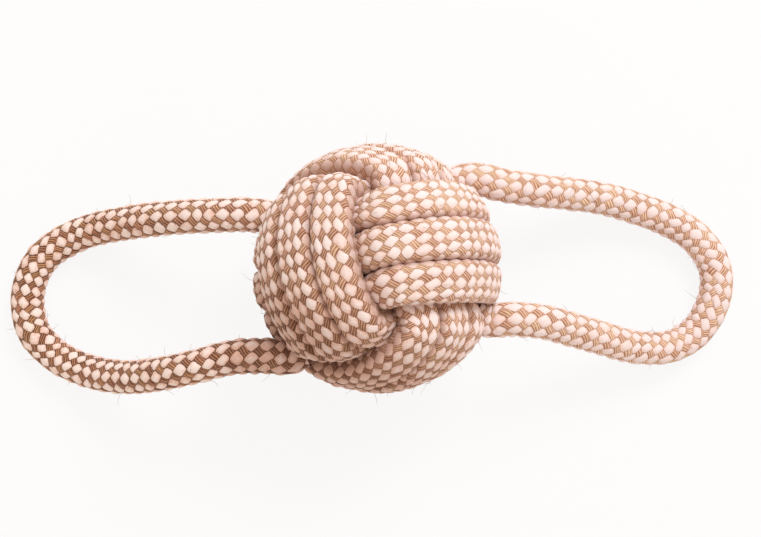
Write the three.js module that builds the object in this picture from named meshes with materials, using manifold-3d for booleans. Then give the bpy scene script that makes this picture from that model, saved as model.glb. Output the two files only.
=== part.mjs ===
// Rope dog toy: one thick braided rope knotted into a ball of three interlocked coils, with a loop
// of the same rope left out on each side as a handle. Millimetres, +Z up, the long side along X.
// The toy lies on its ball and on both loops, so all of them are pressed a little flat underneath.
import Module from 'manifold-3d';
import * as THREE from 'three';
import { mergeVertices } from 'three/addons/utils/BufferGeometryUtils.js';

// The rope, where it is free, where it is pressed flat on the outside of the ball, and where it is
// squeezed under its neighbours.
const ropeDiameter = 12;
const faceRopeWidth = 13.45;
const faceRopeThickness = 9.8;
const tuckedRopeWidth = 10.8;
const tuckedRopeThickness = 9.95;

// The ball, and the room left between its ropes.
const knotRadius = 45.3;
const turnsPerCoil = 3;
const turnClearance = 0.95;
const layerClearance = 0.5;
const climbClearance = 1.3;
const floorFlat = 1.5;
const knotAside = 2.1;
const knotAhead = 1;
const knotYaw = 5;
const knotTilt = -9.8;
const knotRoll = 11;

// How a coil goes over two sides of the ball and under its neighbour on the two between, in degrees
// from the middle of a side where it lies on top. Its outer turns dive a little sooner.
const tuckAngle = 52;
const tuckSpread = 10.5;
const outerTurnLead = 2.4;
const narrowAngle = 76;
const climbSpread = 40.5;

// The two ends of a coil, tucked into the middle of the ball.
const tailRadius = 20.8;
const tailRise = 33;
const tailReach = 10;

// The handles: each end of a loop leaves the ball just outside its ropes.
const exitClearance = 0.3;
const handleSeat = knotRadius + exitClearance;

// The wad of rope in the middle, just inside the tucked ends.
const coreClearance = 0.3;
const coreRadius = tailRadius - tuckedRopeThickness / 2 - coreClearance;

// Facets.
const stepsPerTurn = 36;
const coilSides = 8;
const handleSides = 10;
const handleSteps = 46;
const domeRings = 3;
const coreRings = 9;
const coreSides = 16;

// The block that cuts away what is under the floor, as a multiple of the ball's radius.
const floorReach = 8;

// Where the loops lie: the left one from its lower exit round to its upper, and the right one from
// its upper exit round to its lower. The exits are worked out from the ball.
const leftRoute = [
  [-37.4, -30.6, 51.1], [-50.1, -31.3, 47.6], [-64.3, -34.9, 41.6], [-79, -38.4, 31],
  [-94, -40.2, 18.5], [-108.5, -38.5, 9], [-121.5, -32.9, 5], [-130, -23.9, 4.8],
  [-132.7, -12.9, 4.8], [-130.9, -2.4, 4.8], [-125.4, 6.1, 4.8], [-116.5, 12.1, 5.5],
  [-106.1, 15.8, 9.5], [-93.5, 18, 17], [-79.5, 19.5, 26.5], [-66, 20.1, 34.3],
  [-52.6, 20.5, 39.6], [-45.6, 20.5, 41.3],
];
const rightRoute = [
  [40.3, 33.4, 35.6], [47.5, 31.8, 33.7], [61.1, 30, 27.8], [75, 28.9, 19.5], [89, 27.2, 13],
  [102, 23.8, 8.3], [114.3, 19.3, 5.5], [124.4, 13, 4.8], [131.3, 3.4, 4.8], [132.8, -5.6, 4.8],
  [130.3, -15.2, 4.8], [124.4, -23.8, 5], [114.5, -29, 7.5], [101.3, -29.1, 13], [88, -25.7, 22],
  [74.8, -21.9, 31.6], [62.2, -18.5, 40.6], [50.5, -17.4, 45.3],
];

// Finish.
const ropeColour = 0xd8d3c6;
const coreColour = 0xcfc6b2;
const ropeRoughness = 0.92;

const wasm = await Module();
wasm.setup();

const fullTurn = 2 * Math.PI;
const quarterTurn = Math.PI / 2;
const coilTravel = turnsPerCoil * fullTurn;
const { degToRad, lerp, radToDeg } = THREE.MathUtils;

const outerRadius = knotRadius - faceRopeThickness / 2;
const layerSpacing = (faceRopeThickness + tuckedRopeThickness) / 2 + layerClearance;
const innerRadius = outerRadius - layerSpacing;
const facePitch = faceRopeWidth + turnClearance;
const tuckedPitch = tuckedRopeWidth + turnClearance + climbClearance;

function rope(name, geometry, color) {
  const material = new THREE.MeshStandardMaterial({ color, roughness: ropeRoughness, metalness: 0 });
  const mesh = new THREE.Mesh(geometry, material);
  mesh.name = name;
  return mesh;
}

function solidOf(geometry) {
  const bare = geometry.clone();
  bare.deleteAttribute('normal');
  bare.deleteAttribute('uv');
  const merged = mergeVertices(bare);
  return new wasm.Manifold(
    new wasm.Mesh({
      numProp: 3,
      vertProperties: new Float32Array(merged.attributes.position.array),
      triVerts: new Uint32Array(merged.index.array),
    }),
  );
}

function geometryOf(solid) {
  const mesh = solid.getMesh();
  const geometry = new THREE.BufferGeometry();
  geometry.setAttribute('position', new THREE.BufferAttribute(mesh.vertProperties, 3));
  geometry.setIndex(new THREE.BufferAttribute(mesh.triVerts, 1));
  return geometry;
}

// From 0 to 1 with a level start and end.
function ease(share) {
  const clamped = THREE.MathUtils.clamp(share, 0, 1);
  return THREE.MathUtils.smoothstep(clamped, 0, 1);
}

// A section is one cut across a rope: its middle, its direction, the two directions across it, and
// half its width and thickness. Its sides are flat where ropes press on each other.
function sectionPoint(section, turn, reach) {
  return section.middle
    .clone()
    .addScaledVector(section.across, Math.cos(turn) * reach * section.halfWidth)
    .addScaledVector(section.up, Math.sin(turn) * reach * section.halfThickness);
}

function sectionRing(section, sides) {
  const reach = 1 / Math.cos(Math.PI / sides);
  return Array.from({ length: sides }, (_, side) =>
    sectionPoint(section, ((side + 0.5) / sides) * fullTurn, reach),
  );
}

// The rings that close a rope with a round end. way is 1 at its far end and -1 at its near one.
function roundEnd(section, way) {
  const rings = [];
  for (let ring = 1; ring < domeRings; ring += 1) {
    const lift = (ring / domeRings) * quarterTurn;
    const middle = section.middle
      .clone()
      .addScaledVector(section.along, way * Math.sin(lift) * section.halfThickness);
    rings.push({
      ...section,
      middle,
      halfWidth: section.halfWidth * Math.cos(lift),
      halfThickness: section.halfThickness * Math.cos(lift),
    });
  }
  return rings;
}

// One unbroken rope through its sections, closed with a round end at each end.
function ropeGeometry(sections, sides) {
  const first = sections[0];
  const last = sections[sections.length - 1];
  const rings = [...roundEnd(first, -1).reverse(), ...sections, ...roundEnd(last, 1)];
  const vertices = rings.flatMap((section) => sectionRing(section, sides));
  const nearTip = vertices.length;
  const farTip = nearTip + 1;
  vertices.push(first.middle.clone().addScaledVector(first.along, -first.halfThickness));
  vertices.push(last.middle.clone().addScaledVector(last.along, last.halfThickness));
  const triangles = [];
  const lastRing = (rings.length - 1) * sides;
  for (let side = 0; side < sides; side += 1) {
    const next = (side + 1) % sides;
    for (let here = 0; here < lastRing; here += sides) {
      const there = here + sides;
      triangles.push(here + side, here + next, there + next);
      triangles.push(here + side, there + next, there + side);
    }
    triangles.push(nearTip, next, side);
    triangles.push(farTip, lastRing + side, lastRing + next);
  }
  const geometry = new THREE.BufferGeometry();
  const numbers = vertices.flatMap((vertex) => vertex.toArray());
  geometry.setAttribute('position', new THREE.Float32BufferAttribute(numbers, 3));
  geometry.setIndex(triangles);
  return geometry;
}

// Where a coil's rope is after it has travelled so far round, in the coil's own frame. Its turns lie
// side by side along the third axis. It lies on top at both ends of the first axis and under its
// neighbour at both ends of the second, and climbs to its next turn at one of those crossings.
function coilPlace(travelled) {
  const angle = travelled + quarterTurn;
  const fromTop = radToDeg(Math.acos(Math.abs(Math.cos(angle))));
  let turn = (1 - turnsPerCoil) / 2;
  for (let climb = 1; climb < turnsPerCoil; climb += 1) {
    const past = radToDeg(travelled - climb * fullTurn);
    turn += ease((past + climbSpread) / (2 * climbSpread));
  }
  const dive = tuckAngle - outerTurnLead * turn * turn;
  const tucked = ease((fromTop - dive + tuckSpread) / (2 * tuckSpread));
  const narrowed = ease(fromTop / narrowAngle);
  const fromEnd = radToDeg(Math.min(travelled, coilTravel - travelled));
  const sunk = 1 - ease(fromEnd / tailRise);
  const shell = lerp(outerRadius, innerRadius, tucked) - (innerRadius - tailRadius) * sunk;
  const shift = turn * lerp(facePitch, tuckedPitch, narrowed);
  const flatRadius = Math.sqrt(shell * shell - shift * shift);
  const point = new THREE.Vector3(Math.cos(angle) * flatRadius, Math.sin(angle) * flatRadius, shift);
  return { point, narrowed };
}

function coilSections() {
  const tail = degToRad(tailReach);
  const span = coilTravel + 2 * tail;
  const steps = Math.round((span / fullTurn) * stepsPerTurn);
  const nudge = span / steps / stepsPerTurn;
  return Array.from({ length: steps + 1 }, (_, step) => {
    const travelled = (span * step) / steps - tail;
    const { point, narrowed } = coilPlace(travelled);
    const before = coilPlace(travelled - nudge).point;
    const along = coilPlace(travelled + nudge).point.sub(before).normalize();
    const up = point.clone().addScaledVector(along, -point.dot(along)).normalize();
    return {
      middle: point,
      along,
      up,
      across: new THREE.Vector3().crossVectors(up, along),
      halfWidth: lerp(faceRopeWidth, tuckedRopeWidth, narrowed) / 2,
      halfThickness: lerp(faceRopeThickness, tuckedRopeThickness, narrowed) / 2,
    };
  });
}

// The least gap between the turns of one coil: each point on a section against every section of
// another turn that it lies beside.
function leastGap(sections, sides) {
  const reach = 1 / Math.cos(Math.PI / sides);
  const turnSteps = Math.round(stepsPerTurn / 2);
  const near = faceRopeWidth + faceRopeThickness;
  const away = new THREE.Vector3();
  let least = near;
  sections.forEach((section, index) => {
    const points = sectionRing(section, sides);
    sections.slice(index + turnSteps).forEach((other) => {
      if (section.middle.distanceTo(other.middle) > near) return;
      const step = section.middle.distanceTo(sections[Math.max(index - 1, 0)].middle);
      points.forEach((point) => {
        away.subVectors(point, other.middle);
        if (Math.abs(away.dot(other.along)) > step) return;
        const flats = Array.from({ length: sides }, (_, side) => {
          const turn = (side / sides) * fullTurn;
          const normal = new THREE.Vector2(
            Math.cos(turn) * other.halfThickness,
            Math.sin(turn) * other.halfWidth,
          ).normalize();
          const local = new THREE.Vector2(away.dot(other.across), away.dot(other.up));
          const corner = ((side + 0.5) / sides) * fullTurn;
          const edge = new THREE.Vector2(
            Math.cos(corner) * reach * other.halfWidth,
            Math.sin(corner) * reach * other.halfThickness,
          );
          return local.sub(edge).dot(normal);
        });
        least = Math.min(least, Math.max(...flats));
      });
    });
  });
  return least;
}

// The ball: three alike coils, each turned a third of a turn about the ball's corner from the last,
// so that each goes over one neighbour and under the other.
const sections = coilSections();
const coilGeometry = ropeGeometry(sections, coilSides);
const gapInCoil = leastGap(sections, coilSides);
console.log(`least gap between the turns of a coil: ${gapInCoil.toFixed(2)} mm`);

const toy = new THREE.Group();
const ball = new THREE.Group();
ball.rotation.set(degToRad(knotTilt), degToRad(knotYaw), degToRad(knotRoll), 'ZXY');
toy.add(ball);
const knot = new THREE.Group();
knot.quaternion.setFromRotationMatrix(
  new THREE.Matrix4().makeBasis(
    new THREE.Vector3(1, 0, 1).normalize(),
    new THREE.Vector3(1, 0, -1).normalize(),
    new THREE.Vector3(0, 1, 0),
  ),
);
ball.add(knot);

const knotAxes = [new THREE.Vector3(1, 0, 0), new THREE.Vector3(0, 1, 0), new THREE.Vector3(0, 0, 1)];
const coils = ['first_coil', 'second_coil', 'third_coil'].map((name, index) => {
  const coil = rope(name, coilGeometry.clone(), ropeColour);
  const order = knotAxes.map((_, axis) => knotAxes[(axis + index) % knotAxes.length]);
  coil.quaternion.setFromRotationMatrix(new THREE.Matrix4().makeBasis(...order));
  knot.add(coil);
  return coil;
});

// The wad in the middle: the rope's own strands, on their way from loop to loop, squeezed together.
const coreOutline = Array.from({ length: coreRings + 1 }, (_, ring) => {
  const angle = (ring / coreRings) * Math.PI - quarterTurn;
  return new THREE.Vector2(Math.cos(angle) * coreRadius, Math.sin(angle) * coreRadius);
});
coreOutline[0].x = 0;
coreOutline[coreRings].x = 0;
knot.add(rope('core', new THREE.LatheGeometry(coreOutline, coreSides), coreColour));

// The ball sits as low as its lowest rope, and that rope is pressed flat.
const lowest = new THREE.Box3().setFromObject(ball, true).min.z;
ball.position.set(knotAside, knotAhead, -lowest - floorFlat);
toy.updateMatrixWorld(true);

// Cuts off what the floor presses flat, in the frame of the piece.
const floorSize = floorReach * knotRadius;
const floorBlock = new THREE.BoxGeometry(floorSize, floorSize, floorSize);
floorBlock.translate(0, 0, -floorSize / 2);
function pressFlat(piece) {
  const floor = floorBlock.clone().applyMatrix4(piece.matrixWorld.clone().invert());
  piece.geometry = geometryOf(solidOf(piece.geometry).subtract(solidOf(floor)));
}
coils.forEach(pressFlat);

// A loop leaves the ball between three ropes, at one of its corners.
function exitPoint(side, height) {
  const corner = new THREE.Vector3(side, side, height).normalize();
  return corner.multiplyScalar(handleSeat).applyMatrix4(knot.matrixWorld);
}

function handleGeometry(start, route, end) {
  const places = [start, ...route.map((place) => new THREE.Vector3(...place)), end];
  const curve = new THREE.CatmullRomCurve3(places, false, 'centripetal');
  const upward = new THREE.Vector3(0, 0, 1);
  const sections = Array.from({ length: handleSteps + 1 }, (_, step) => {
    const share = step / handleSteps;
    const along = curve.getTangentAt(share);
    const up = upward.clone().addScaledVector(along, -upward.dot(along)).normalize();
    return {
      middle: curve.getPointAt(share),
      along,
      up,
      across: new THREE.Vector3().crossVectors(up, along),
      halfWidth: ropeDiameter / 2,
      halfThickness: ropeDiameter / 2,
    };
  });
  console.log(`loop of rope: ${curve.getLength().toFixed(1)} mm`);
  return ropeGeometry(sections, handleSides);
}

const handles = [
  ['left_handle', handleGeometry(exitPoint(-1, -1), leftRoute, exitPoint(-1, 1))],
  ['right_handle', handleGeometry(exitPoint(1, 1), rightRoute, exitPoint(1, -1))],
];
handles.forEach(([name, geometry]) => {
  const handle = rope(name, geometry, ropeColour);
  toy.add(handle);
  pressFlat(handle);
});

export default toy;
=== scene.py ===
import math

import bpy
import numpy as np
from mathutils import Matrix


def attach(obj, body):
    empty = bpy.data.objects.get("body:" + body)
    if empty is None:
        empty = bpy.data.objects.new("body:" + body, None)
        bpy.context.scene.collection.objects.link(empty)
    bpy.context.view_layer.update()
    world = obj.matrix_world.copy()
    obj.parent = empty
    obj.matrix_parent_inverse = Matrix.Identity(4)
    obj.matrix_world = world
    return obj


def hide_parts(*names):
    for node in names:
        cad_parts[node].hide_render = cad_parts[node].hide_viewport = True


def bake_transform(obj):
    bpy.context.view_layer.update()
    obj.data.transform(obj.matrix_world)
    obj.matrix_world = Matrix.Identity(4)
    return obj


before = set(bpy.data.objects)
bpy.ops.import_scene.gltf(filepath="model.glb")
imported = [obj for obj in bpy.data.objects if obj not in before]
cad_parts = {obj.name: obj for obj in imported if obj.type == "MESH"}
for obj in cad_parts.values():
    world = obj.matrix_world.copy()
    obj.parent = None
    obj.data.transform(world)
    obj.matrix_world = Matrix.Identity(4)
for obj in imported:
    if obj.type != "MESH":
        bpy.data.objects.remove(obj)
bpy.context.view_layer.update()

# The camera looks straight down on the toy from a good arm's length above the ball, with the two
# loops to its left and right. MM turns the millimetres that are written here into metres.
MM = 0.001
BALL_MIDDLE = np.array([2.1, 1.0, 42.958]) * MM
CAMERA_HEIGHT = 650 * MM
SENSOR_WIDTH = 36.0
PIXEL = 0.364 * MM
PICTURE_WIDTH = 761
BALL_PIXEL = (377.0, 268.0)
PICTURE_MIDDLE = (380.5, 268.5)


def put_in_scene(name, data):
    thing = bpy.data.objects.new(name, data)
    bpy.context.scene.collection.objects.link(thing)
    return thing


camera_data = bpy.data.cameras.new("camera")
camera = put_in_scene("camera", camera_data)
camera_data.sensor_width = SENSOR_WIDTH
camera_data.lens = SENSOR_WIDTH * CAMERA_HEIGHT / (PIXEL * PICTURE_WIDTH)
camera.location = (
    BALL_MIDDLE[0] + (PICTURE_MIDDLE[0] - BALL_PIXEL[0]) * PIXEL,
    BALL_MIDDLE[1] - (PICTURE_MIDDLE[1] - BALL_PIXEL[1]) * PIXEL,
    BALL_MIDDLE[2] + CAMERA_HEIGHT,
)
bpy.context.scene.camera = camera

# The handles. Each is a loop of the toy's own rope: a tubular braid of eight white cotton strands
# one way and eight tan jute ones the other, each over one and under one. A loop comes out between
# three ropes of the ball, bends there as it is lifted, and lies on the floor at its outer end.
ROPE_DIAMETER = 12 * MM
SLACKNESS = 0.5 * MM
STRANDS = 8
LOOP_FACETS = 12
OUTLINE_POINTS = 257
ROUND = 2.0
FLOOR_GAP = 0.1 * MM

# From crossing to crossing along a loop's slack end, its stretched arms and its bent necks, and
# the shares of its half length at which the arms are reached and the necks begin.
LOOSE_PITCH = 4.7 * MM
TAUT_PITCH = 5.7 * MM
NECK_PITCH = 4.0 * MM
LOOSE_PART = 0.6
NECK_PART = 0.76

# A white strand shows as a rounded pad at each crossing. The pad's length and width are shares of
# the way to the next crossing, and its squareness is 2 for an ellipse and more towards an oblong.
PAD_LENGTH = 0.64
PAD_WIDTH = 0.56
PAD_SQUARENESS = 3.4
PAD_FLATNESS = 2.4
WHITE_RISE = 0.34 * MM
TAN_RISE = 0.14 * MM
GROOVE_DEPTH = 0.30 * MM

# No two pads are alike, and the strands stray and drift, in slow waves that are counted in
# crossings along the rope and in strands round it.
PLUMPNESS_SPREAD = 0.13
PLUMPNESS_TABLE = (997, 991)
STRAYING = 0.10
STRAY_WAVES = 14
STRAY_PACE = 1.5
STRAY_ROUNDS = 3
UNEVENNESS = 0.12 * MM
UNEVEN_WAVES = 5
UNEVEN_PACE = (0.35, 0.5)
DRIFT = 0.05
DRIFT_WAVES = 6
DRIFT_PACE = (0.5, 0.8)

# Where a rope lies against its neighbour in the ball: a share of its half width, and how softly. The
# seam is darkened there with painted shade.
SEAM_PLACE = 0.82
SEAM_SOFTNESS = 0.17

# The loops' exits from the ball and their routes, in millimetres.
LEFT_ROUTE = [
    (-37.4, -30.6, 51.1), (-50.1, -31.3, 47.6), (-64.3, -34.9, 41.6), (-79, -38.4, 31),
    (-94, -40.2, 18.5), (-108.5, -38.5, 9), (-121.5, -32.9, 5), (-130, -23.9, 4.8),
    (-132.7, -12.9, 4.8), (-130.9, -2.4, 4.8), (-125.4, 6.1, 4.8), (-116.5, 12.1, 5.5),
    (-106.1, 15.8, 9.5), (-93.5, 18, 17), (-79.5, 19.5, 26.5), (-66, 20.1, 34.3),
    (-52.6, 20.5, 39.6), (-45.6, 20.5, 41.3),
]
RIGHT_ROUTE = [
    (40.3, 33.4, 35.6), (47.5, 31.8, 33.7), (61.1, 30, 27.8), (75, 28.9, 19.5), (89, 27.2, 13),
    (102, 23.8, 8.3), (114.3, 19.3, 5.5), (124.4, 13, 4.8), (131.3, 3.4, 4.8), (132.8, -5.6, 4.8),
    (130.3, -15.2, 4.8), (124.4, -23.8, 5), (114.5, -29, 7.5), (101.3, -29.1, 13), (88, -25.7, 22),
    (74.8, -21.9, 31.6), (62.2, -18.5, 40.6), (50.5, -17.4, 45.3),
]
LEFT_EXITS = (-29.464, -31.001, 50.637), (-39.365, 19.931, 41.675)
RIGHT_EXITS = (33.664, 33.001, 35.279), (43.565, -17.931, 44.242)
TUCK_IN = 5 * MM
INWARD_BEND = 0.7
BEND_START = 2 * MM
BEND_END = 24 * MM


def through(places, steps=40):
    """A smooth line through given points, with its parameter kept even by their distances."""
    places = np.array(places, float)
    ends = np.array([2 * places[0] - places[1]]), np.array([2 * places[-1] - places[-2]])
    p = np.concatenate([ends[0], places, ends[1]])
    knots = np.concatenate([[0], np.cumsum(np.linalg.norm(np.diff(p, axis=0), axis=1) ** 0.5)])
    line = []
    for i in range(1, len(p) - 2):
        t = np.linspace(knots[i], knots[i + 1], steps, endpoint=False)[:, None]
        a = [
            ((knots[i + k] - t) * p[i + k - 1] + (t - knots[i + k - 1]) * p[i + k])
            / (knots[i + k] - knots[i + k - 1])
            for k in range(3)
        ]
        b = [
            ((knots[i + k + 1] - t) * a[k] + (t - knots[i + k - 1]) * a[k + 1])
            / (knots[i + k + 1] - knots[i + k - 1])
            for k in range(2)
        ]
        line.append(((knots[i + 1] - t) * b[0] + (t - knots[i]) * b[1]) / (knots[i + 1] - knots[i]))
    return np.concatenate(line + [places[-1:]])


def distance_along(line):
    return np.concatenate([[0], np.cumsum(np.linalg.norm(np.diff(line, axis=0), axis=1))])


def unit(v):
    return v / np.linalg.norm(v, axis=-1, keepdims=True)


def ease(share):
    """0 below 0, 1 above 1, and a smooth way between."""
    share = np.clip(share, 0, 1)
    return share * share * (3 - 2 * share)


def wobble(rng, waves, *coordinates):
    """A slow unevenness, about -1 to 1, from a few waves across the given coordinates."""
    total = 0
    for _ in range(waves):
        turn = rng.uniform(0, 2 * math.pi)
        total = total + np.sin(sum(rng.normal(0, 1) * c for c in coordinates) + turn)
    return total / waves ** 0.5


def braided_rope(name, line, ups, widths, thicknesses, squareness, pitch, crowding, facets, seed):
    """One length of braid along a line, as a closed mesh, and its ring centres. Crossings follow
    each other a pitch apart along the rope's face, and crowding draws their rows together there.
    The UV map counts strands: x along the rope and y round it, with white on top at whole numbers."""
    rng = np.random.default_rng(seed)
    going = unit(np.gradient(line, axis=0))
    facing = unit(ups - going * np.sum(ups * going, axis=1, keepdims=True))
    face = line + facing * (np.asarray(thicknesses) * 0.5 * (crowding > 0))[:, None]
    travelled = distance_along(face)
    pitch = pitch + np.zeros(len(line))
    counted = np.concatenate([[0], np.cumsum(np.diff(travelled) * 2 / (pitch[1:] + pitch[:-1]))])
    crossings = round(counted[-1])
    rows = crossings * facets + 1
    at = np.interp(np.linspace(0, counted[-1], rows), counted, travelled)

    def even(values):
        """Values along the line, taken again at each row of the mesh."""
        values = np.asarray(values, float)
        if values.ndim == 1:
            return np.interp(at, travelled, values)
        return np.stack([np.interp(at, travelled, values[:, k]) for k in range(3)], axis=1)

    centres = even(line)
    along = unit(np.gradient(centres, axis=0))
    across = unit(np.cross(even(ups), along))
    up = np.cross(along, across)

    # The rope's section at each row, its points even by their distance round the edge.
    width, thickness = even(widths) / 2, even(thicknesses) / 2
    square = even(squareness)
    around = STRANDS * facets
    fine = np.linspace(0, 2 * math.pi, OUTLINE_POINTS)
    cosine, sine = np.cos(fine), np.sin(fine)
    share = np.linspace(0, 1, around + 1)[:-1]
    share = share + crowding / (2 * math.pi) * np.cos(2 * math.pi * share)
    ring = np.empty((rows, around, 2))
    for row in range(rows):
        power = 2 / square[row]
        x = width[row] * np.sign(cosine) * np.abs(cosine) ** power
        y = thickness[row] * np.sign(sine) * np.abs(sine) ** power
        edge = np.concatenate([[0], np.cumsum(np.hypot(np.diff(x), np.diff(y)))])
        edge /= edge[-1]
        ring[row, :, 0] = np.interp(share, edge, x, period=1)
        ring[row, :, 1] = np.interp(share, edge, y, period=1)
    tangent = np.roll(ring, -1, axis=1) - np.roll(ring, 1, axis=1)
    outward = unit(np.stack([tangent[:, :, 1], -tangent[:, :, 0]], axis=2))

    # The count of strands at each point, strayed, and its place on the nearest white pad.
    a = np.arange(rows)[:, None] / facets + np.zeros((1, around + 1))
    b = np.zeros((rows, 1)) + np.arange(around + 1)[None, :] / facets
    strayed = [np.zeros_like(a), np.zeros_like(a)]
    for stray in strayed:
        for _ in range(STRAY_WAVES):
            wave = rng.normal(0, STRAY_PACE) * a
            wave = wave + rng.integers(-STRAY_ROUNDS, STRAY_ROUNDS + 1) * b * 2 * math.pi / STRANDS
            stray += np.sin(wave + rng.uniform(0, 2 * math.pi)) * STRAYING / STRAY_WAVES ** 0.5
    uv_a, uv_b = a + strayed[0], b + strayed[1]
    a, b = uv_a[:, :-1], uv_b[:, :-1]
    white_strand = np.round(a + b)
    crossing = 2 * np.round((a - b - white_strand) / 2) + white_strand
    run, side = np.abs(a - b - crossing), np.abs(a + b - white_strand)
    plumpness = rng.normal(1, PLUMPNESS_SPREAD, PLUMPNESS_TABLE)
    strand_row = (white_strand % (2 * STRANDS)).astype(int)
    plumpness = plumpness[strand_row, crossing.astype(int) % PLUMPNESS_TABLE[1]]

    def crown(length, width):
        reach = (length ** PAD_SQUARENESS + width ** PAD_SQUARENESS) ** (1 / PAD_SQUARENESS)
        return 1 - np.clip(reach, 0, 1) ** PAD_FLATNESS

    height = np.maximum(
        crown(run / PAD_LENGTH, side / PAD_WIDTH) * (WHITE_RISE + GROOVE_DEPTH) * plumpness,
        crown((1 - run) / (1 - PAD_LENGTH), side * 2) * (TAN_RISE + GROOVE_DEPTH),
    )
    uneven = wobble(rng, UNEVEN_WAVES, a * UNEVEN_PACE[0], b * UNEVEN_PACE[1])
    height += uneven * UNEVENNESS - GROOVE_DEPTH
    ring = ring + outward * height[:, :, None]
    drift = wobble(rng, DRIFT_WAVES, a * DRIFT_PACE[0], b * DRIFT_PACE[1]) * DRIFT * LOOSE_PITCH
    points = (
        centres[:, None, :]
        + across[:, None, :] * ring[:, :, :1]
        + up[:, None, :] * ring[:, :, 1:]
        + along[:, None, :] * drift[:, :, None]
    )
    points[:, :, 2] = np.maximum(points[:, :, 2], FLOOR_GAP)

    # The skin between the rows, and a cap of triangles at each end.
    vertices = np.concatenate([points.reshape(-1, 3), centres[:1], centres[-1:]])
    first = np.arange(rows - 1)[:, None] * around
    side = np.arange(around)[None, :]
    following = (side + 1) % around
    quads = np.stack(
        [first + side, first + following, first + around + following, first + around + side],
        axis=2,
    ).reshape(-1, 4)
    last = (rows - 1) * around
    corner = np.arange(around)
    near_cap = np.stack([np.full(around, rows * around), (corner + 1) % around, corner], axis=1)
    far_cap = np.stack(
        [np.full(around, rows * around + 1), last + corner, last + (corner + 1) % around], axis=1
    )
    mesh = bpy.data.meshes.new(name)
    mesh.from_pydata(vertices.tolist(), [], quads.tolist() + near_cap.tolist() + far_cap.tolist())
    uv = mesh.uv_layers.new(name="braid")
    row_of = np.repeat(np.arange(rows - 1), around)
    side_of = np.tile(np.arange(around), rows - 1)
    rows_of = np.stack([row_of, row_of, row_of + 1, row_of + 1], axis=1)
    sides_of = np.stack([side_of, side_of + 1, side_of + 1, side_of], axis=1)
    corners = np.stack([uv_a[rows_of, sides_of], uv_b[rows_of, sides_of]], axis=2).reshape(-1, 2)
    caps = np.zeros((2 * around * 3, 2))
    caps[around * 3:, 0] = crossings
    uv.data.foreach_set("uv", np.concatenate([corners, caps]).ravel().astype(np.float32))
    # The seam mask: 1 where a coil's rope lies against its neighbour, darkened there with painted
    # shade.
    sideways = np.abs(ring[:, :, 0]) / width[:, None]
    seam_shade = ease((sideways - SEAM_PLACE) / SEAM_SOFTNESS).ravel() * (crowding > 0)
    seam_shade = np.concatenate([seam_shade, [1, 1]])
    mesh.attributes.new("seam_shade", "FLOAT", "POINT").data.foreach_set("value", seam_shade)
    mesh.shade_smooth()
    return put_in_scene(name, mesh), centres


class Shade:
    """A number or a colour on its way through a material, with the sums that a braid needs."""

    def __init__(self, tree, socket):
        self.tree = tree
        self.socket = socket

    def node(self, kind, settings, values, output=0):
        new = self.tree.nodes.new(kind)
        for key, value in settings.items():
            setattr(new, key, value)
        for key, value in values.items():
            if isinstance(value, Shade):
                self.tree.links.new(value.socket, new.inputs[key])
            else:
                new.inputs[key].default_value = value
        return Shade(self.tree, new.outputs[output])

    def feed(self, shader, name):
        self.tree.links.new(self.socket, shader.inputs[name])

    def parts(self):
        """The first two numbers of a place."""
        first = self.node("ShaderNodeSeparateXYZ", {}, {"Vector": self})
        return first, Shade(self.tree, first.socket.node.outputs[1])

    def maths(self, operation, *values):
        inputs = dict(enumerate(values))
        return self.node("ShaderNodeMath", {"operation": operation}, inputs)

    def __add__(self, other):
        return self.maths("ADD", self, other)

    __radd__ = __add__

    def __sub__(self, other):
        return self.maths("SUBTRACT", self, other)

    def __rsub__(self, other):
        return self.maths("SUBTRACT", other, self)

    def __mul__(self, other):
        return self.maths("MULTIPLY", self, other)

    __rmul__ = __mul__

    def __truediv__(self, other):
        return self.maths("DIVIDE", self, other)

    def __abs__(self):
        return self.maths("ABSOLUTE", self)

    def power(self, other):
        return self.maths("POWER", self, other)

    def sine(self):
        return self.maths("SINE", self)

    def sign(self):
        return self.maths("SIGN", self)

    def largest(self, other):
        return self.maths("MAXIMUM", self, other)

    def nearest_whole(self):
        return self.maths("ROUND", self)

    def ease(self, low, high):
        """0 below low, 1 above high, and a smooth way between."""
        inputs = {"Value": self, "From Min": low, "From Max": high}
        return self.node("ShaderNodeMapRange", {"interpolation_type": "SMOOTHSTEP"}, inputs)

    def mix(self, first, second):
        """The first colour where this is 0, and the second where it is 1."""
        inputs = {"Factor": self, 6: first, 7: second}
        return self.node("ShaderNodeMix", {"data_type": "RGBA"}, inputs, output=2)


def new_material(name):
    """A material, its shader, and a start for the sums that feed it."""
    material = bpy.data.materials.new(name)
    material.use_nodes = True
    tree = material.node_tree
    return material, tree.nodes["Principled BSDF"], Shade(tree, None)


# Painted light and shade: the rope's colours change on a slant over the whole toy, from their painted
# shade copies at the first of these places to their painted lit copies at the second, and painted
# shade darkens the lower left of the ball.
# Places are metres from the frame's middle.
PAINTED_LIGHT_SLANT = (0.8, 0.72)
PAINTED_LIGHT_SPAN = (-0.085, 0.065)
# Where the painted shade at the lower left of the ball lies.
LOWER_SHADE_SLANT = 0.5
LOWER_SHADE_BELOW = (0.010, 0.040)
LOWER_SHADE_BESIDE = (0.040, 0.062)

# Scales of the uneven places on the rope, per metre.
BLOTCHES = 55.0
GREEN_PATCHES = 130.0
MOTTLES = 700.0
FRAYS = 1100.0

# Yarns side by side in one tan strand and twists of one white strand, with their slants.
TAN_YARNS = (4.6, 0.4)
COTTON_TWISTS = (3.0, 0.9)
YARN_DEPTH = 0.25 * MM

# How often the fibres change along and across a strand, how far they fray a pad's edge, and where
# that edge is.
COTTON_FIBRES = (1.3, 8.0)
YARN_ENDS = (0.8, 6.0)
JUTE_FIBRES = (2.2, 17.0)
FRAYED = 0.26
PAD_EDGE = (0.95, 1.01)


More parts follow.
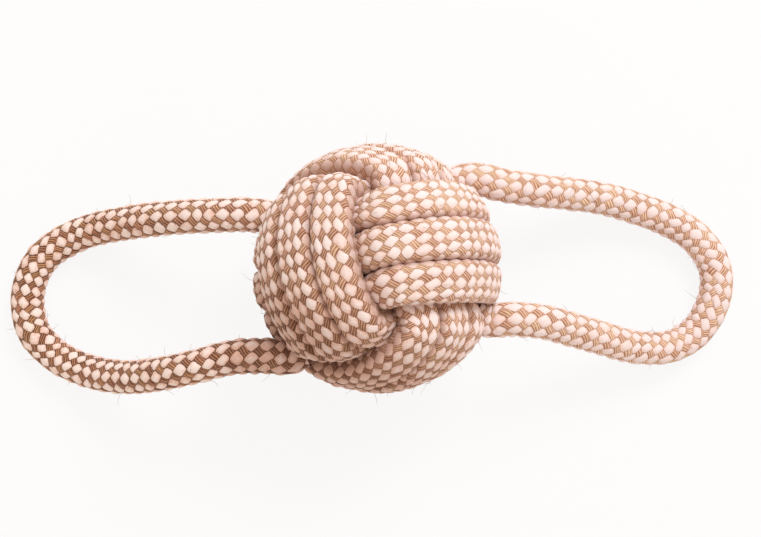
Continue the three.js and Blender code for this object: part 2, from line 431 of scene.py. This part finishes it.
def braid_material(name, white, white_worn_and_shaded, tan, tan_dark, olive, painted_shade_brown):
    """White and tan strands crossing, from the piece's braid UV map, with yarns, fibres, dust and
    painted shade.
    Each colour is a pair: as painted in shade at the toy's dark end, and as painted lit at the other."""
    material, shader, sums = new_material(name)
    place = sums.node("ShaderNodeTexCoord", {}, {}, output="Object")
    place_x, place_y = place.parts()
    a, b = sums.node("ShaderNodeUVMap", {"uv_map": "braid"}, {}).parts()
    # The seam mask, where painted shade darkens the seams.
    seam_shade = sums.node("ShaderNodeAttribute", {"attribute_name": "seam_shade"}, {}, output=2)
    white_strand = (a + b).nearest_whole()
    crossing = ((a - b - white_strand) / 2).nearest_whole() * 2 + white_strand
    along_white = a - b - crossing
    across_white = a + b - white_strand
    # Painted light: 0 where the colours take their painted shade copies at the lower left, 1 where
    # they take their painted lit copies at the upper right.
    painted_light_share = (place_x * PAINTED_LIGHT_SLANT[0] + place_y * PAINTED_LIGHT_SLANT[1]).ease(*PAINTED_LIGHT_SPAN)
    # Painted shade at the lower left of the ball, fading out towards its sides.
    painted_lower_shade = (0.0 - place_y - place_x * LOWER_SHADE_SLANT).ease(*LOWER_SHADE_BELOW)
    painted_lower_shade = painted_lower_shade * (1 - abs(place_x).ease(*LOWER_SHADE_BESIDE))

    def noise(vector, scale, detail=3.0, roughness=0.6):
        values = {"Vector": vector, "Scale": scale, "Detail": detail, "Roughness": roughness}
        return sums.node("ShaderNodeTexNoise", {}, values)

    def chance(x, y, z):
        where = sums.node("ShaderNodeCombineXYZ", {}, {"X": x, "Y": y, "Z": z})
        return sums.node("ShaderNodeTexWhiteNoise", {"noise_dimensions": "3D"}, {"Vector": where})

    def strand_fibres(along, across, seed):
        where = sums.node("ShaderNodeCombineXYZ", {}, {"X": along, "Y": across, "Z": seed})
        return noise(where, scale=1.0, detail=4.0, roughness=0.65)

    fibres = strand_fibres((a - b) * COTTON_FIBRES[0], (a + b) * COTTON_FIBRES[1], seed=0.0)
    yarn_ends = strand_fibres((a - b) * YARN_ENDS[0], (a + b) * YARN_ENDS[1], seed=9.0)
    jute = strand_fibres((a + b) * JUTE_FIBRES[0], (a - b) * JUTE_FIBRES[1], seed=5.0)
    blotch = noise(place, BLOTCHES, detail=2.0)
    mottled = noise(place, MOTTLES, detail=2.0)
    green_patch = noise(place, GREEN_PATCHES, detail=2.0)
    each_pad = chance(white_strand, crossing, 0.0)
    each_tan = chance(white_strand, crossing + along_white.sign(), 3.0)

    # A pad's reach is 1 at its ragged edge, where the strand goes under with a line of painted shade
    # round it.
    ragged = (noise(place, FRAYS) - 0.5) * FRAYED + (yarn_ends - 0.5) * FRAYED
    reach = (
        (abs(along_white) / PAD_LENGTH).power(PAD_SQUARENESS)
        + (abs(across_white) / PAD_WIDTH).power(PAD_SQUARENESS)
    ).power(1 / PAD_SQUARENESS) + ragged
    tan_share = reach.ease(*PAD_EDGE)
    groove_shade_line = reach.ease(0.90, 1.0) * (1 - reach.ease(1.0, 1.25))
    groove_shade_line = groove_shade_line.largest(abs(across_white).ease(0.465, 0.5) * reach.ease(0.80, 0.90))
    groove_shade_line = groove_shade_line * (mottled * 1.7 + blotch * 1.1 - 0.5)

    # The cotton is soiled at random in its fibres and blotches, and is darker with painted shade
    # towards the pads' rims, in the seams and at the lower left of the ball, and a little lighter on
    # the painted lit side.
    twist = (across_white * COTTON_TWISTS[0] + along_white * COTTON_TWISTS[1]) * (2 * math.pi)
    twist = (twist + (fibres - 0.5) * 4.0).sine() * 0.5 + 0.5
    soil_and_shade = reach * reach * 0.7 + fibres * 1.3 + each_pad * 0.45 + mottled * 1.0 + blotch * 0.4
    soil_and_shade = soil_and_shade - 1.48 - painted_light_share * 0.12 + seam_shade * 0.4 + painted_lower_shade * 0.5
    soil_and_shade = soil_and_shade.ease(0.0, 1.0)
    cotton = soil_and_shade.mix(painted_light_share.mix(*white), painted_light_share.mix(*white_worn_and_shaded))

    # The jute's bright yarns lie in dark gaps, and some patches of it are greener. The yarns darken
    # under the painted shade at the lower left of the ball and lighten a little on the painted lit
    # side.
    plies = (along_white * TAN_YARNS[0] + across_white * TAN_YARNS[1]) * (2 * math.pi)
    plies = ((plies + (jute - 0.5) * 5.0).sine() * 0.5 + 0.5).power(0.45)
    yarns = plies * 0.9 + jute * 0.8 + each_tan * 0.3 - painted_lower_shade * 0.25 - 0.7 + painted_light_share * 0.07
    yarns = yarns.ease(0.0, 1.0)
    greener = (each_tan * 0.35 + green_patch * 1.2 - 0.6).ease(0.0, 0.5)
    bright_yarn = greener.mix(painted_light_share.mix(*tan), painted_light_share.mix(*olive))
    hemp = yarns.mix(painted_light_share.mix(*tan_dark), bright_yarn)

    # Painted shade: the groove lines, the seams and the lower left of the ball take the painted shade
    # brown.
    shade = (groove_shade_line * (0.9 - 0.35 * painted_light_share)).largest(seam_shade * (0.2 + 0.4 * jute))
    shade = shade.largest(painted_lower_shade * (0.14 + 0.31 * jute))
    colour = shade.mix(tan_share.mix(cotton, hemp), painted_light_share.mix(*painted_shade_brown))
    relief = (
        (1 - tan_share) * (fibres * 0.6 + twist * 0.3)
        + tan_share * (plies * 0.8 + jute * 0.4)
        - groove_shade_line * 0.5
    )
    bump = sums.node(
        "ShaderNodeBump", {}, {"Strength": 0.6, "Distance": YARN_DEPTH, "Height": relief}
    )
    colour.feed(shader, "Base Color")
    bump.feed(shader, "Normal")
    shader.inputs["Roughness"].default_value = 0.88
    shader.inputs["Specular IOR Level"].default_value = 0.25
    shader.inputs["Sheen Weight"].default_value = 0.2
    shader.inputs["Sheen Roughness"].default_value = 0.5
    return material


# Each pair is one colour painted in shade and the same colour painted lit.
rope_cloth = braid_material(
    "cotton_and_jute_braid",
    white=((0.98, 0.85, 0.79, 1), (0.91, 0.78, 0.765, 1)),
    white_worn_and_shaded=((0.80, 0.48, 0.36, 1), (0.92, 0.67, 0.58, 1)),
    tan=((0.77, 0.36, 0.20, 1), (0.99, 0.70, 0.52, 1)),
    tan_dark=((0.07, 0.018, 0.007, 1), (0.40, 0.16, 0.08, 1)),
    olive=((0.64, 0.35, 0.17, 1), (0.94, 0.70, 0.49, 1)),
    painted_shade_brown=((0.06, 0.016, 0.007, 1), (0.42, 0.20, 0.13, 1)),
)


def handle(name, node, exits, route, seed):
    """A loop from one exit to the other, run on a little way into the ball at both ends, and the
    places between which its neck bends."""
    exits = np.array(exits)
    places = np.concatenate([exits[:1], np.array(route), exits[1:]]) * MM
    onwards = np.array([route[0], route[-1]]) - exits
    inwards = unit(unit(BALL_MIDDLE - exits * MM) - INWARD_BEND * unit(onwards))
    whole = np.concatenate(
        [places[:1] + inwards[:1] * TUCK_IN, places, places[-1:] + inwards[1:] * TUCK_IN]
    )
    line = through(whole)
    ups = np.tile([0.0, 0.0, 1.0], (len(line), 1))
    size = np.full(len(line), ROPE_DIAMETER + SLACKNESS)
    square = np.full(len(line), ROUND)
    travelled = distance_along(line)
    from_middle = np.abs(2 * travelled / travelled[-1] - 1)
    pitch = LOOSE_PITCH + (TAUT_PITCH - LOOSE_PITCH) * ease(from_middle / LOOSE_PART)
    pitch += (NECK_PITCH - TAUT_PITCH) * ease((from_middle - NECK_PART) / (1 - NECK_PART))
    piece, centres = braided_rope(
        name, line, ups, size, size, square, pitch, 0, LOOP_FACETS, seed
    )
    piece.data.materials.append(rope_cloth)
    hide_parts(node)
    side = math.copysign(1, exits[0][0])
    middle = exits.mean(axis=0) * MM
    start = tuple(middle + np.array([side * BEND_START, 0, 0]))
    end = tuple(middle + np.array([side * BEND_END, 0, 0]))
    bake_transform(piece)
    return (piece, centres), start, end


loops = {
    "left": handle("left_loop", "left_handle", LEFT_EXITS, LEFT_ROUTE, seed=11),
    "right": handle("right_loop", "right_handle", RIGHT_EXITS, RIGHT_ROUTE, seed=23),
}

# The ball is three alike coils of the same rope, three turns each, tied as a sailor ties a weight
# on a heaving line: each coil goes over one neighbour and under the other, and is pressed flat
# where it lies on the outside.
FACE_ROPE_WIDTH = 13.45 * MM
FACE_ROPE_THICKNESS = 9.8 * MM
TUCKED_ROPE_WIDTH = 10.8 * MM
TUCKED_ROPE_THICKNESS = 9.95 * MM
KNOT_RADIUS = 45.3 * MM
TURNS = 3
TURN_CLEARANCE = 0.95 * MM
LAYER_CLEARANCE = 0.5 * MM
CLIMB_CLEARANCE = 1.3 * MM
TAIL_RADIUS = 20.8 * MM
PRESSED_TOGETHER = 0.5 * MM
COIL_SQUARENESS = 3.3
COIL_FACETS = 8
COIL_CROWDING = 0.26
DRAWN_PITCH = 5.8 * MM

# Angles, in degrees. Those of the dive are measured from the middle of the coil's outer faces, the
# rest along the rope.
TUCK_ANGLE = 52
TUCK_SPREAD = 10.5
OUTER_TURN_LEAD = 2.4
NARROW_ANGLE = 76
CLIMB_SPREAD = 40.5
TAIL_RISE = 33
TAIL_REACH = 10
COIL_STEP = 0.5
KNOT_TURN = (-9.8, 5, 11)


def turned(degrees, axis):
    """The matrix of a turn about one of the three axes."""
    c, s = math.cos(math.radians(degrees)), math.sin(math.radians(degrees))
    i, j = [(1, 2), (2, 0), (0, 1)][axis]
    matrix = np.eye(3)
    matrix[i, i] = matrix[j, j] = c
    matrix[i, j], matrix[j, i] = -s, s
    return matrix


# One coil, lying round the z axis. It climbs from turn to turn where it is tucked under, and its
# two ends sink into the ball.
outer = KNOT_RADIUS - FACE_ROPE_THICKNESS / 2
inner = outer - (FACE_ROPE_THICKNESS + TUCKED_ROPE_THICKNESS) / 2 - LAYER_CLEARANCE
face_pitch = FACE_ROPE_WIDTH + TURN_CLEARANCE
tucked_pitch = TUCKED_ROPE_WIDTH + TURN_CLEARANCE + CLIMB_CLEARANCE
whole_way = TURNS * 360 + TAIL_REACH + COIL_STEP / 5
travelled = np.radians(np.arange(-TAIL_REACH, whole_way, COIL_STEP))
angle = travelled + math.pi / 2
from_top = np.degrees(np.arccos(np.abs(np.cos(angle))))
turn = (1 - TURNS) / 2 + sum(
    ease((np.degrees(travelled) - 360 * climb + CLIMB_SPREAD) / (2 * CLIMB_SPREAD))
    for climb in range(1, TURNS)
)
dive = TUCK_ANGLE - OUTER_TURN_LEAD * turn ** 2
tucked = ease((from_top - dive + TUCK_SPREAD) / (2 * TUCK_SPREAD))
narrowed = ease(from_top / NARROW_ANGLE)
from_end = np.degrees(np.minimum(travelled, TURNS * 2 * math.pi - travelled))
sunk = 1 - ease(from_end / TAIL_RISE)
shell = outer + (inner - outer) * tucked - (inner - TAIL_RADIUS) * sunk
pitch = face_pitch + (tucked_pitch - face_pitch) * narrowed
shift = turn * pitch
flat = np.sqrt(shell ** 2 - shift ** 2)
coil_line = np.stack([np.cos(angle) * flat, np.sin(angle) * flat, shift], axis=1)
coil_width = pitch + PRESSED_TOGETHER
coil_thickness = FACE_ROPE_THICKNESS + (TUCKED_ROPE_THICKNESS - FACE_ROPE_THICKNESS) * narrowed

tilt, yaw, roll = KNOT_TURN
ball_axes = np.array([[1, 1, 0], [0, 0, math.sqrt(2)], [1, -1, 0]]) / math.sqrt(2)
ball_frame = turned(roll, 2) @ turned(tilt, 0) @ turned(yaw, 1) @ ball_axes
coils = []
for index, name in enumerate(["first", "second", "third"]):
    order = np.roll(np.eye(3), index, axis=1)
    coil_frame = ball_frame @ order.T
    line = coil_line @ coil_frame.T
    coil, coil_centres = braided_rope(
        f"{name}_winding",
        line + BALL_MIDDLE,
        line,
        coil_width,
        coil_thickness,
        np.full(len(line), COIL_SQUARENESS),
        DRAWN_PITCH,
        COIL_CROWDING,
        COIL_FACETS,
        seed=31 + index,
    )
    coil.data.materials.append(rope_cloth)
    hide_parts(f"{name}_coil")
    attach(coil, "knot")
    coils.append((coil, coil_centres))

# The wad in the middle is the rope's own strands on their way from loop to loop, squeezed into a
# ball by the coils around them. They lie round it on a slant, like yarn on a bobbin.
CORE_CLEARANCE = 0.3 * MM
CORE_RADIUS = TAIL_RADIUS - TUCKED_ROPE_THICKNESS / 2 - CORE_CLEARANCE
CORE_STRANDS = 16
CORE_SLANT = 1.5
STRAND_HEIGHT = 0.9 * MM
STRAND_FULLNESS = 0.6
CORE_FIBRES = 220.0
CORE_FIBRE_WAVES = 12.0
CORE_FIBRE_DEPTH = 0.2 * MM
UNDYED_GAP = (0.45, 0.27, 0.15, 1)
UNDYED_YARN = (0.80, 0.66, 0.54, 1)

bpy.ops.object.select_all(action="DESELECT")
bpy.ops.mesh.primitive_uv_sphere_add(segments=160, ring_count=60, radius=1)
core = bpy.context.object
core.name = "squeezed_strands"
ball = np.empty(len(core.data.vertices) * 3)
core.data.vertices.foreach_get("co", ball)
ball = ball.reshape(-1, 3)
slant = np.arctan2(ball[:, 1], ball[:, 0]) + CORE_SLANT * np.arcsin(np.clip(ball[:, 2], -1, 1))
ridge = np.abs(np.cos(slant * CORE_STRANDS / 2)) ** STRAND_FULLNESS
ridge = ridge * np.sqrt(1 - ball[:, 2] ** 2)
ball = ball * (CORE_RADIUS - STRAND_HEIGHT * (1 - ridge))[:, None] + BALL_MIDDLE
core.data.vertices.foreach_set("co", ball.ravel())
core.location = (0, 0, 0)
core.data.shade_smooth()

strand_cloth, shader, sums = new_material("undyed_strands")
around, rise = sums.node("ShaderNodeUVMap", {"uv_map": core.data.uv_layers[0].name}, {}).parts()
across = (around + rise * (CORE_SLANT / 2)) * CORE_FIBRES
yarn_place = {"X": across, "Y": rise * CORE_FIBRE_WAVES, "Z": 0.0}
yarn = sums.node("ShaderNodeCombineXYZ", {}, yarn_place)
fibre = sums.node("ShaderNodeTexNoise", {}, {"Vector": yarn, "Scale": 1.0, "Detail": 4.0})
undyed = fibre.ease(0.3, 0.7).mix(UNDYED_GAP, UNDYED_YARN)
bump = sums.node(
    "ShaderNodeBump", {}, {"Strength": 0.5, "Distance": CORE_FIBRE_DEPTH, "Height": fibre}
)
undyed.feed(shader, "Base Color")
bump.feed(shader, "Normal")
shader.inputs["Roughness"].default_value = 0.9
core.data.materials.append(strand_cloth)
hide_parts("core")
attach(core, "knot")

# Jute sheds: short brown hairs have worked loose all over the rope and stand a little off it. On
# the ball more of them are caught in the seams between the turns.
BALL_HAIRS = 630
LOOP_HAIRS = 99
SEAM_SHARE = 0.6
HAIR_RADIUS = 0.08 * MM
HAIR_TAPER = 0.6
HAIR_LENGTHS = (3 * MM, 9 * MM)
HAIR_RINGS = 7
HAIR_SIDES = 3
HAIR_LIFT = 0.15
HAIR_CURL = 0.36
HAIR_DROOP = 0.06
ROOT_DEPTH = 0.2 * MM
OUTER_FACE = 1 * MM
ODD_WAY = (0.31, 0.52, 0.79)
BARE_END_ROWS = 4
HAIR_TINTS = 90.0
DARK_JUTE = (0.28, 0.14, 0.07, 1)
LIGHT_JUTE = (0.62, 0.42, 0.27, 1)


def loose_hairs(name, ropes, count, seed):
    """Thin curved hairs, each a closed three-sided tube, growing from the outer face of the ropes."""
    rng = np.random.default_rng(seed)
    vertices, faces = [], []
    hair_faces = (HAIR_RINGS - 1) * HAIR_SIDES + 2
    while len(faces) < count * hair_faces:
        rope, centres = ropes[rng.integers(len(ropes))]
        sides = (len(rope.data.vertices) - 2) // len(centres)
        row = rng.integers(BARE_END_ROWS, len(centres) - BARE_END_ROWS)
        root_point = int(row * sides + rng.integers(sides))
        in_seam = rope.data.attributes["seam_shade"].data[root_point].value > 0.5
        if len(ropes) > 1 and in_seam != (rng.random() < SEAM_SHARE):
            continue
        root = np.array(rope.data.vertices[root_point].co)
        root_height = np.linalg.norm(root - BALL_MIDDLE)
        rope_height = np.linalg.norm(centres[row] - BALL_MIDDLE)
        if len(ropes) > 1 and root_height < rope_height + OUTER_FACE:
            continue
        out = unit(root - centres[row])
        lying = rng.normal(0, 1, 3)
        heading = unit(out * rng.uniform(0, HAIR_LIFT) + unit(lying - out * lying.dot(out)))
        curl = rng.normal(0, HAIR_CURL, 3) - out * HAIR_DROOP
        step = rng.uniform(*HAIR_LENGTHS) / HAIR_RINGS
        middle = root - out * ROOT_DEPTH
        first = len(vertices)
        for ring in range(HAIR_RINGS):
            side_way = unit(np.cross(heading, ODD_WAY))
            other_way = np.cross(heading, side_way)
            radius = HAIR_RADIUS * (1 - HAIR_TAPER * ring / HAIR_RINGS)
            for turn in np.arange(HAIR_SIDES) * 2 * math.pi / HAIR_SIDES:
                point = middle + radius * (side_way * math.cos(turn) + other_way * math.sin(turn))
                vertices.append((point[0], point[1], max(point[2], FLOOR_GAP)))
            middle = middle + heading * step
            heading = unit(heading + curl)
        for ring in range(HAIR_RINGS - 1):
            for side in range(HAIR_SIDES):
                near = first + ring * HAIR_SIDES + side
                beside = first + ring * HAIR_SIDES + (side + 1) % HAIR_SIDES
                faces.append((near, beside, beside + HAIR_SIDES, near + HAIR_SIDES))
        tip = first + (HAIR_RINGS - 1) * HAIR_SIDES
        faces.append(tuple(reversed(range(first, first + HAIR_SIDES))))
        faces.append(tuple(range(tip, tip + HAIR_SIDES)))
    mesh = bpy.data.meshes.new(name)
    mesh.from_pydata(vertices, [], faces)
    hairs = put_in_scene(name, mesh)
    hairs.data.materials.append(hair_cloth)
    return hairs


hair_cloth, shader, sums = new_material("jute_hair")
place = sums.node("ShaderNodeTexCoord", {}, {}, output="Object")
tint = sums.node("ShaderNodeTexNoise", {}, {"Vector": place, "Scale": HAIR_TINTS})
brown = tint.ease(0.35, 0.65).mix(DARK_JUTE, LIGHT_JUTE)
brown.feed(shader, "Base Color")
shader.inputs["Roughness"].default_value = 0.6
ball_hairs = loose_hairs("ball_hairs", coils, BALL_HAIRS, seed=51)
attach(ball_hairs, "knot")
for side, (loop, start, end) in loops.items():
    hairs = loose_hairs(f"{side}_loop_hairs", [loop], LOOP_HAIRS, seed=52)
    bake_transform(hairs)

# The floor is a plain pale sheet, far wider than the toy. The camera sees it nearly white, as in
# a picture with its background bleached, with a faint shadow left under the toy.
FLOOR_SIZE = 6.0
FLOOR_COLOUR = (0.86, 0.86, 0.86, 1)
BLEACHED = 0.87


def looking_rays(sums):
    """1 for what the eye sees straight, in a shine or through something, and 0 for lighting."""
    path = sums.node("ShaderNodeLightPath", {}, {}).socket.node
    kinds = ("Is Camera Ray", "Is Glossy Ray", "Is Transmission Ray")
    return sum(Shade(sums.tree, path.outputs[kind]) for kind in kinds)


bpy.ops.object.select_all(action="DESELECT")
bpy.ops.mesh.primitive_plane_add(size=FLOOR_SIZE, location=(0, 0, 0))
floor = bpy.context.object
floor.name = "floor"
floor_paint, shader, sums = new_material("floor_paint")
shader.inputs["Base Color"].default_value = FLOOR_COLOUR
shader.inputs["Roughness"].default_value = 0.9
white_glow = sums.node("ShaderNodeEmission", {}, {"Strength": 1.0})
seen = looking_rays(sums) * BLEACHED
shaders = {0: seen, 1: Shade(sums.tree, shader.outputs[0]), 2: white_glow}
bleach = sums.node("ShaderNodeMixShader", {}, shaders)
bleach.feed(sums.tree.nodes["Material Output"], "Surface")
floor.data.materials.append(floor_paint)

# The light is a studio's: a broad soft lamp from the upper right, a weak one low in front, and a
# pale room all round. The eye sees a white backdrop in place of the room.
ROOM_COLOUR = (1, 0.865, 0.765, 1)
ROOM_STRENGTH = 0.71
BACKDROP_COLOUR = (0.97, 0.97, 0.97, 1)


def lamp(name, place, size, power, colour):
    """A square lamp that faces the toy."""
    data = bpy.data.lights.new(name, "AREA")
    data.energy = power
    data.color = colour
    data.size = size
    light = put_in_scene(name, data)
    light.location = place
    aim = -np.array(place)
    light.rotation_euler = (
        math.atan2(math.hypot(aim[0], aim[1]), -aim[2]),
        0,
        math.atan2(aim[0], -aim[1]) + math.pi,
    )


lamp("key_light", (0.6, 1.1, 1.2), size=0.7, power=16.6, colour=(0.97, 1.0, 1.05))
lamp("fill_light", (-0.3, -1.4, 0.35), size=1.0, power=2.5, colour=(1.0, 0.92, 0.84))
world = bpy.data.worlds.new("room")
world.use_nodes = True
sums = Shade(world.node_tree, None)
room = sums.tree.nodes["Background"]
room.inputs["Color"].default_value = ROOM_COLOUR
room.inputs["Strength"].default_value = ROOM_STRENGTH
backdrop = sums.node("ShaderNodeBackground", {}, {"Color": BACKDROP_COLOUR, "Strength": 1.0})
shaders = {0: looking_rays(sums), 1: Shade(sums.tree, room.outputs[0]), 2: backdrop}
seen_room = sums.node("ShaderNodeMixShader", {}, shaders)
seen_room.feed(sums.tree.nodes["World Output"], "Surface")
bpy.context.scene.world = world
bpy.context.scene.view_settings.view_transform = "Standard"
